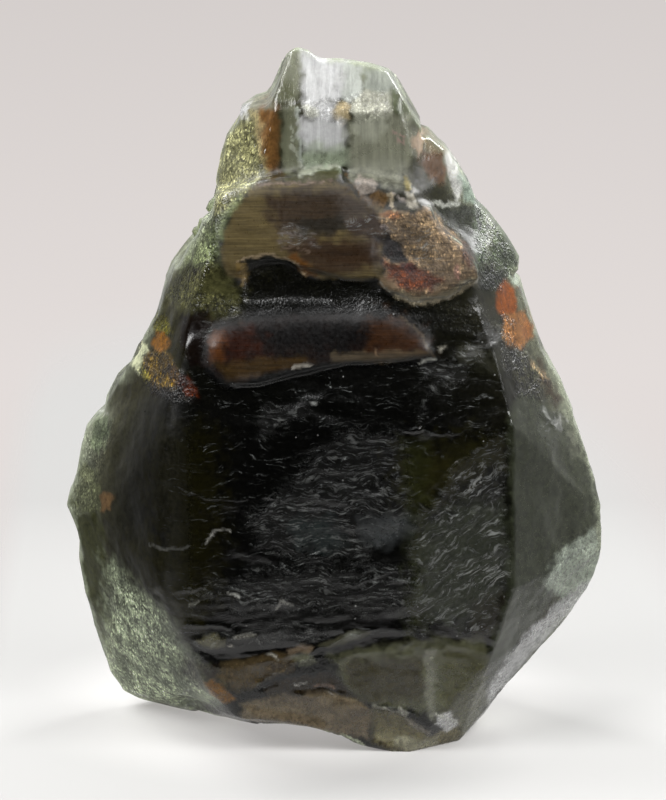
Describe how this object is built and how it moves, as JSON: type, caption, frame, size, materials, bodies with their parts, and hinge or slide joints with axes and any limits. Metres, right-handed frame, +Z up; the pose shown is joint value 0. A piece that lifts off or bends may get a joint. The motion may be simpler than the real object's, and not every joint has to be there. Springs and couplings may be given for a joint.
{
  "type": "sillimanite crystal specimen",
  "caption": "Dark translucent gem crystal fragment, broad below and tapering to a clear blunt tip, with brown stained plates on its front, standing on its broken base.",
  "frame": {"origin": "on the floor under the middle of the stone's outer size", "axes": "+Z up from the broken base to the tip; -Y out of the flat front face that the brown plates are on"},
  "size_m": [0.0182, 0.0092, 0.0236],
  "materials": {
    "crystal": "see-through grey-green crystal with hackly breaks and iron stains"
  },
  "bodies": {
    "root": {"sillimanite_crystal": "crystal"}
  },
  "joints": []
}
